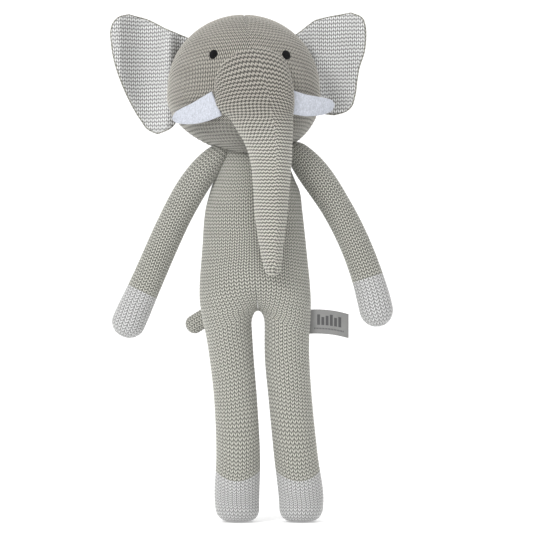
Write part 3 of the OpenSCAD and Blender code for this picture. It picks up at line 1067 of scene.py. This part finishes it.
@dataclass
class Ear:
    """A fan-shaped ear: a white panel in front, a grey one behind, and a rolled edge.

    Both edges are curves of height: inner is the edge by the head, and outer the far one.
    """

    side: Side
    inner: list[tuple[float, float]]
    outer: list[tuple[float, float]]
    ridge: float
    cup: float
    curl: float
    gauge: Gauge = Gauge(wale=3.3, course=3.0, relief=1.1, rise=0.5, centre=1.0)
    depth: float = 20.5
    fill: float = 2.6
    edge: float = 5.5
    heart_z: float = 362.0
    back_grow: float = 1.008
    rim_grow: float = 1.003
    rim_r: float = 0.8

    def span(self, z: Array) -> tuple[Array, Array]:
        """Inner and outer edge at a height."""
        return through(self.inner, z), through(self.outer, z)

    def hub(self) -> Array:
        """The X and Z about which the back and the rolled edge are made a little larger."""
        return np.array([self.inner[len(self.inner) // 2][1], self.heart_z])

    def share(self, x: Array, z: Array) -> Array:
        """How far a place lies across the ear, from 0 by the head to 1 at the far edge."""
        near, far = self.span(np.array([357.0]))
        return np.clip((x - near) / (far - near), -0.1, 1.15)

    def outline(self) -> Array:
        """Points round the ear's outline, closer together at its top and foot."""
        low, high = self.inner[0][0], self.inner[-1][0]
        z = low + (high - low) * (1.0 - np.cos(np.linspace(0, np.pi, 90))) / 2
        near, far = self.span(z)
        return np.concatenate([np.stack([far, z], 1), np.stack([near, z], 1)[-2:0:-1]])

    def rim_distance(self, x: Array, z: Array) -> Array:
        """Distance of each place from the outline, over the outline's short straights."""
        a = self.outline()
        b = np.roll(a, -1, axis=0)
        way = b - a
        p = np.stack([x.ravel(), z.ravel()], 1)[:, None, :] - a[None]
        t = np.clip((p * way).sum(-1) / np.maximum((way ** 2).sum(-1), 1e-9), 0.0, 1.0)
        gap = np.linalg.norm(p - t[..., None] * way, axis=-1)
        return gap.min(axis=1).reshape(x.shape)

    def middle(self, x: Array, z: Array) -> Array:
        """Depth of the ear's middle sheet: a ridge by the head, a hollow, and a curled edge."""
        s = self.share(x, z)
        height = eased((z - 316.0) / 30.0) * (1.0 - 0.4 * eased((z - 380.0) / 28.0))
        ridge = self.ridge * np.exp(-(((s - 0.15) / 0.13) ** 2)) * height
        hollow = self.cup * np.sin(np.pi * np.clip((s - 0.2) / 0.8, 0.0, 1.0))
        lean = -4.0 * eased((z - 350.0) / 60.0)
        return self.depth - ridge + hollow - self.curl * s ** 2 + lean

    def panel(self, front: bool) -> Surface:
        """The front or the back panel, of course v and place x.

        Args:
            front: True for the white front, False for the grey back.

        Returns:
            A function of v and x.
        """
        top = self.inner[-1][0]
        way = -1.0 if front else 1.0
        grow = 1.0 if front else self.back_grow

        def surface(v: Array, x: Array) -> Array:
            """Place of course v at x; the panel is drawn in to the middle sheet at its edge."""
            z = top - self.gauge.course * v
            inside = np.clip(self.rim_distance(x, z) / self.edge, 0.0, 1.0)
            puff = self.fill * np.sqrt(1.0 - (1.0 - inside) ** 2)
            mid = self.hub()
            return np.stack([mid[0] + (x - mid[0]) * grow, self.middle(x, z) + way * puff,
                             mid[1] + (z - mid[1]) * grow], axis=-1)

        return surface

    def spread(self, cloth: Cloth, front: bool) -> None:
        """Adds one panel: upright wales, cut off at the outline."""
        low, top = self.inner[0][0], self.inner[-1][0]
        rows = int((top - low) / self.gauge.course * self.gauge.cells_v) + 1
        v = np.linspace(0.0, (top - low) / self.gauge.course, rows)
        near, far = self.span(top - self.gauge.course * v)
        least, most = np.minimum(near, far), np.maximum(near, far)
        pitch = self.gauge.wale / self.gauge.cells_u
        x = np.arange(least.min() - pitch, most.max() + pitch, pitch)[None, :]
        x = np.clip(x, least[:, None], most[:, None])
        v = np.repeat(v[:, None], x.shape[1], axis=1)
        cloth.add(self.panel(front), v, x, x / self.gauge.wale, inward=front, step=0.4)

    def rim(self, cloth: Cloth) -> None:
        """Adds the rolled edge: a thin round tube along the outline."""
        line = self.outline()
        mid = self.hub()
        place = mid + (line - mid) * self.rim_grow
        way = np.roll(line, -1, axis=0) - np.roll(line, 1, axis=0)
        way /= np.linalg.norm(way, axis=1, keepdims=True)
        out = np.stack([way[:, 1], -way[:, 0]], 1)
        y = self.middle(line[:, 0], line[:, 1])
        a = np.linspace(0, TAU, 9)
        ring = self.rim_r * np.cos(a)[None, :, None] * out[:, None, :]
        x_z = place[:, None, :] + ring
        points = np.stack([x_z[..., 0], y[:, None] + 0.9 * np.sin(a)[None, :], x_z[..., 1]], -1)
        points = np.concatenate([points, points[:1]])
        steps = np.linalg.norm(np.diff(points[:, 0], axis=0), axis=1)
        along = np.concatenate([[0.0], np.cumsum(steps)]) / self.gauge.wale
        uv = np.stack(np.broadcast_arrays(a[None, :] / TAU * 2.0, along[:, None]), -1)
        cells = grid_faces(len(points), len(a), sum(len(p) for p in cloth.points))
        cloth.points.append(points.reshape(-1, 3))
        cloth.uvs.append(uv.reshape(-1, 2))
        cloth.faces.append(cells)

    def build(self, shop: Workshop) -> None:
        """Makes the two panels and the rolled edge."""
        name = self.side.value
        front = Cloth(f"ear_front_knit_{name}", self.gauge, 2.9)
        self.spread(front, True)
        back = Cloth(f"ear_back_knit_{name}", self.gauge, 3.3)
        self.spread(back, False)
        self.rim(back)
        for cloth, finish, node in ((front, "ear", "ear_front"), (back, "body", "ear_back")):
            piece = shop.dress(cloth.finish(), finish, f"{node}_{name}")
            bent(piece)


# ---------------------------------------------------------------- trimmings


@dataclass
class Eye:
    """An oval worked in satin stitch: smooth thread laid side by side over a low dome."""

    side: Side
    head: Head
    x: float
    z: float = 372.8
    half_w: float = 3.1
    half_h: float = 3.9
    lean: float = np.radians(24.0)

    def build(self, shop: Workshop) -> None:
        """Makes the dome on the head's front, as rings of points round its middle."""
        r, a = np.meshgrid(np.linspace(0.0, 1.0, 15), np.linspace(0.0, TAU, 49), indexing="ij")
        across, up = self.half_w * r * np.cos(a), self.half_h * r * np.sin(a)
        tip = -self.side.sign * self.lean
        x = self.x + across * np.cos(tip) + up * np.sin(tip)
        z = self.z - across * np.sin(tip) + up * np.cos(tip)
        strand = 0.07 * np.cos(TAU * up / 0.62)
        dome = 0.5 + 0.9 * np.sqrt(np.maximum(0.0, 1.0 - r ** 2)) + strand * (1.0 - r ** 4)
        y = self.head.front(x, z) - dome
        points = np.stack([x, y, z], axis=-1)
        skirt = points[-1:] + np.array([0.0, 2.2, 0.0])
        points = np.concatenate([points, skirt])
        rows, columns = points.shape[:2]
        uv = np.stack([points[..., 0], points[..., 2]], axis=-1).reshape(-1, 2)
        piece = mesh_from(f"eye_stitches_{self.side.value}", points.reshape(-1, 3),
                          grid_faces(rows, columns)[:, ::-1], uv)
        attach(shop.dress(piece, "eye", f"eye_{self.side.value}"), "head")


@dataclass
class Tusk:
    """A flat felt tusk, sewn in between the cheek and the trunk, that curves upwards.

    Its upper and its lower edge are curves of the share from the seam to the tip.
    """

    side: Side
    upper: list[tuple[float, float]]
    lower: list[tuple[float, float]]
    root: tuple[float, float]
    tip: float
    depth: tuple[float, float]
    thick: float = 1.5
    reach: float = 34.0
    soft: float = 1.2
    bulge: tuple[float, float] = (2.2, 1.2)

    def build(self, shop: Workshop) -> None:
        """Makes the felt as two faces with a soft cut edge between them."""
        t, s = np.meshgrid(1.0 - (1.0 - np.linspace(0, 1, 61)) ** 1.6,
                           (1.0 - np.cos(np.linspace(0, np.pi, 25))) / 2, indexing="ij")
        high, low = through(self.upper, t), through(self.lower, t)
        z = low + (high - low) * s
        root = self.root[1] + (self.root[0] - self.root[1]) * s
        x = root + (self.tip - root) * t
        y = self.depth[0] + (self.depth[1] - self.depth[0]) * t
        y = y - self.bulge[0] * np.sin(np.pi * t) - self.bulge[1] * np.sin(np.pi * s)
        edge = np.minimum(s, 1.0 - s) * np.maximum(high - low, 0.1)
        edge = np.minimum(edge, np.minimum(t, 1.0 - t) * self.reach)
        half = self.thick / 2 * np.sqrt(1.0 - (1.0 - np.clip(edge / self.soft, 0.0, 1.0)) ** 2)
        front, back = np.stack([x, y - half, z], -1), np.stack([x, y + half, z], -1)
        points = np.concatenate([front.reshape(-1, 3), back.reshape(-1, 3)])
        cells = grid_faces(*t.shape)
        flip = self.side is Side.RIGHT
        there = cells + t.size
        faces = np.concatenate([cells if flip else cells[:, ::-1],
                                there[:, ::-1] if flip else there])
        uv = points[:, [0, 2]]
        piece = mesh_from(f"tusk_felt_{self.side.value}", points, faces, uv)
        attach(shop.dress(piece, "felt", f"tusk_{self.side.value}"), "head")


@dataclass
class Tail:
    """A short knitted tab at the back of the right hip."""

    gauge: Gauge = Gauge(wale=3.0, course=2.5, relief=0.75)
    start: tuple[float, float, float] = (-17.0, 15.0, 177.0)
    end: tuple[float, float, float] = (-52.5, 30.0, 154.5)
    radius: float = 7.4
    flatness: float = 0.62
    wales: int = 12

    def surface(self, v: Array, q: Array) -> Array:
        """Place of course v at angle q, on a flattened tube with a round end.

        Args:
            v: course of each point, from the root to the tip.
            q: angle round the tail.

        Returns:
            The place of each point, in millimetres.
        """
        a, b = np.array(self.start), np.array(self.end)
        length = np.linalg.norm(b - a)
        way = (b - a) / length
        s = np.clip(v * self.gauge.course, 0.0, length)
        side = np.cross(way, [0.0, 1.0, 0.0])
        side /= np.linalg.norm(side)
        depth = np.cross(side, way)
        last = length - s
        past = np.clip(self.radius - last, 0, None) / self.radius
        r = self.radius * np.sqrt(np.maximum(0.0, 1.0 - past ** 2))
        return (a + s[..., None] * way + (r * np.cos(q))[..., None] * side
                + (self.flatness * r * np.sin(q))[..., None] * depth)

    def build(self, shop: Workshop) -> None:
        """Makes the tail."""
        length = float(np.linalg.norm(np.array(self.end) - np.array(self.start)))
        tail = Cloth("tail_knit", self.gauge, 4.0)
        tail.tube(self.surface, 0.0, length / self.gauge.course, self.wales, inward=True)
        piece = shop.dress(tail.finish(), "body", "tail")
        bent(piece)


@dataclass
class Label:
    """A woven ribbon folded in two, its ends sewn into the left hip's seam."""

    root: float = 45.5
    fold: float = 77.0
    height: float = 19.4
    top: tuple[float, float] = (170.4, 166.4)
    thick: float = 0.35
    fold_run: float = 3.0
    fold_r: float = 0.9

    def build(self, shop: Workshop) -> None:
        """Makes the ribbon as one strip that runs out, turns over and runs back."""
        out = self.fold - self.root
        s, t = np.meshgrid(np.linspace(0, 1, 121), np.linspace(0, 1, 21), indexing="ij")
        length = 2 * out + self.fold_run
        run = s * length
        turn = np.clip((run - out) / self.fold_run, 0.0, 1.0) * np.pi
        reach = np.where(run < out, run, np.where(run > out + self.fold_run, length - run, out))
        x = self.root + reach + self.fold_r * np.sin(turn)
        share = reach / out
        arch = 2.2 * np.sin(np.pi * share * 0.55)
        y = 0.6 - self.fold_r * np.cos(turn) - 2.0 * np.sin(np.pi * share) + 2.0 * share ** 2
        droop = (self.top[0] - self.top[1] + 1.6) * share ** 1.6 - 1.6 * np.sin(np.pi * share * 0.5)
        z = self.top[0] - self.height * t - droop + 0.35 * arch
        centre = np.stack([x, y, z], -1)
        way = np.gradient(centre, axis=0)
        normal = np.cross(way, np.array([0.0, 0.0, 1.0]))
        normal /= np.maximum(np.linalg.norm(normal, axis=-1, keepdims=True), 1e-9)
        both = np.stack([centre + normal * self.thick / 2, centre - normal * self.thick / 2])
        rows, columns = s.shape
        cells = grid_faces(rows, columns)
        i = np.arange(rows - 1) * columns
        low = np.stack([i, i + columns, i + columns + s.size, i + s.size], 1)
        high = low[:, ::-1] + columns - 1
        ends = np.arange(columns - 1)
        first = np.stack([ends, ends + s.size, ends + s.size + 1, ends + 1], 1)
        last = (first + (rows - 1) * columns)[:, ::-1]
        faces = np.concatenate([cells, (cells + s.size)[:, ::-1], low, high, first, last])
        uv = np.stack([run * MM, (self.height * t) * MM], -1).reshape(-1, 2)
        piece = mesh_from("label_ribbon", both.reshape(-1, 3), faces, np.concatenate([uv, uv]))
        shop.dress(piece, "ribbon", "label")
        bent(piece)


# ---------------------------------------------------------------- studio


@dataclass
class Studio:
    """Pale floor and backdrop, soft lights, and the camera square to the toy's front."""

    field: float = 426.4
    aim: tuple[float, float] = (12.0, 205.2)
    ahead: float = 12.0
    lens: float = 200.0
    sky: float = 0.75
    glow: float = 0.25
    lamps: tuple[tuple[str, tuple[float, float, float], float, float], ...] = (
        ("key", (-1.1, -1.7, 1.4), 0.7, 27.0),
        ("fill", (1.1, -2.0, 0.5), 1.2, 4.0),
        ("top", (0.0, -0.2, 2.0), 1.0, 5.0))

    def light(self, name: str, place: tuple[float, float, float], size: float, power: float
              ) -> None:
        """A soft square light that looks at the toy's middle.

        Args:
            name: the light's name.
            place: where it stands, in metres.
            size: length of its side, in metres.
            power: its power, in watts.
        """
        data = bpy.data.lights.new(name, "AREA")
        data.size, data.energy = size, power
        lamp = bpy.data.objects.new(name, data)
        lamp.location = place
        way = Vector((0, 0, 0.22)) - Vector(place)
        lamp.rotation_euler = way.to_track_quat("-Z", "Y").to_euler()
        bpy.context.scene.collection.objects.link(lamp)

    def build(self) -> None:
        """Makes the floor sweep, the lights and the camera."""
        scene = bpy.context.scene
        scene.view_settings.view_transform = "Standard"
        world = bpy.data.worlds.new("studio")
        world.use_nodes = True
        world.node_tree.nodes["Background"].inputs["Color"].default_value = (1, 1, 1, 1)
        world.node_tree.nodes["Background"].inputs["Strength"].default_value = self.sky
        scene.world = world
        t = np.linspace(0, 1, 25)
        turn = np.clip((t - 0.45) / 0.2, 0, 1) * np.pi / 2
        y = -12.0 + np.minimum(t, 0.45) / 0.45 * 13.6 + 0.8 * np.sin(turn)
        z = 0.8 * (1 - np.cos(turn)) + np.clip((t - 0.65) / 0.35, 0, 1) * 3.0
        x = np.linspace(-12, 12, 9)
        points = np.stack([np.repeat(x[None, :], 25, 0), np.repeat(y[:, None], 9, 1),
                           np.repeat(z[:, None], 9, 1)], axis=-1).reshape(-1, 3) / MM
        floor = mesh_from("floor", points, grid_faces(25, 9), points[:, :2] * MM)
        s = Recipe("floor_paper")
        s.shader.inputs["Base Color"].default_value = (0.93, 0.93, 0.93, 1)
        s.shader.inputs["Roughness"].default_value = 0.9
        s.shader.inputs["Emission Color"].default_value = (1, 1, 1, 1)
        s.shader.inputs["Emission Strength"].default_value = self.glow
        floor.data.materials.append(s.material)
        for lamp in self.lamps:
            self.light(*lamp)
        camera = bpy.data.cameras.new("camera")
        camera.lens, camera.sensor_width = self.lens, 36.0
        camera.clip_end = 50.0
        held = bpy.data.objects.new("camera", camera)
        distance = self.field * MM * self.lens / 36.0
        held.location = (self.aim[0] * MM, -distance - self.ahead * MM, self.aim[1] * MM)
        held.rotation_euler = (np.pi / 2, 0, 0)
        scene.collection.objects.link(held)
        scene.camera = held


def main() -> None:
    """Builds the toy piece by piece."""
    logging.basicConfig(level=logging.INFO, format="%(name)s: %(message)s")
    Studio().build()
    shop = Workshop(Palette())
    Trousers().build(shop)
    Arm(Side.RIGHT, ((-19.5, 302.5), (-70, 226), (-104, 149)), bow=6.8, shoulder_r=11.6).build(shop)
    Arm(Side.LEFT, ((30, 303), (87, 244), (103, 157))).build(shop)
    Neck().build(shop)
    head = Head()
    head.build(shop)
    Trunk().build(shop)
    Ear(Side.RIGHT,
        [(313.6, -76.4), (316.8, -67.6), (327, -60.5), (345, -60), (370, -57), (388, -49),
         (396, -68), (402, -78), (406.4, -88), (408.8, -99.6)],
        [(313.6, -76.4), (316.5, -83), (324, -89.4), (341.6, -99.6), (357, -106), (372.8, -110.8),
         (386, -112.8), (396, -113), (402.4, -110.6), (406.8, -105.5), (408.8, -99.6)],
        ridge=11.0, cup=13.0, curl=7.0).build(shop)
    Ear(Side.LEFT,
        [(328.6, 66.5), (330, 56), (345, 48), (370, 43), (390, 34), (396, 41), (401, 47.5),
         (404.5, 53.5), (407.5, 66), (409.6, 80)],
        [(328.6, 66.5), (330.2, 73.5), (333, 78.6), (342.8, 82.9), (355, 84.6), (365.6, 86.4),
         (378.4, 90.4), (392, 91.6), (400, 90.8), (406, 87.6), (409.6, 80)],
        ridge=3.0, cup=4.0, curl=10.0).build(shop)
    Eye(Side.RIGHT, head, -30.0).build(shop)
    Eye(Side.LEFT, head, 27.8).build(shop)
    Tusk(Side.RIGHT,
         upper=[(0, 343), (0.25, 338.6), (0.5, 334), (0.8, 329.6), (0.94, 326.5), (1, 322.6)],
         lower=[(0, 324), (0.3, 319.6), (0.6, 317.6), (0.85, 318.4), (0.95, 319.8), (1, 322.6)],
         root=(-31.0, -23.0), tip=-63.0, depth=(-50.5, -33.0)).build(shop)
    Tusk(Side.LEFT,
         upper=[(0, 344.4), (0.3, 341.4), (0.6, 339.8), (0.85, 338.4), (0.95, 336.8),
                (1, 333.8)],
         lower=[(0, 325.4), (0.3, 324), (0.6, 324.8), (0.85, 327.4), (0.95, 330), (1, 333.8)],
         root=(32.5, 32.5), tip=66.5, depth=(-44.5, -23.5)).build(shop)
    Tail().build(shop)
    Label().build(shop)


if __name__ == "__main__":
    main()
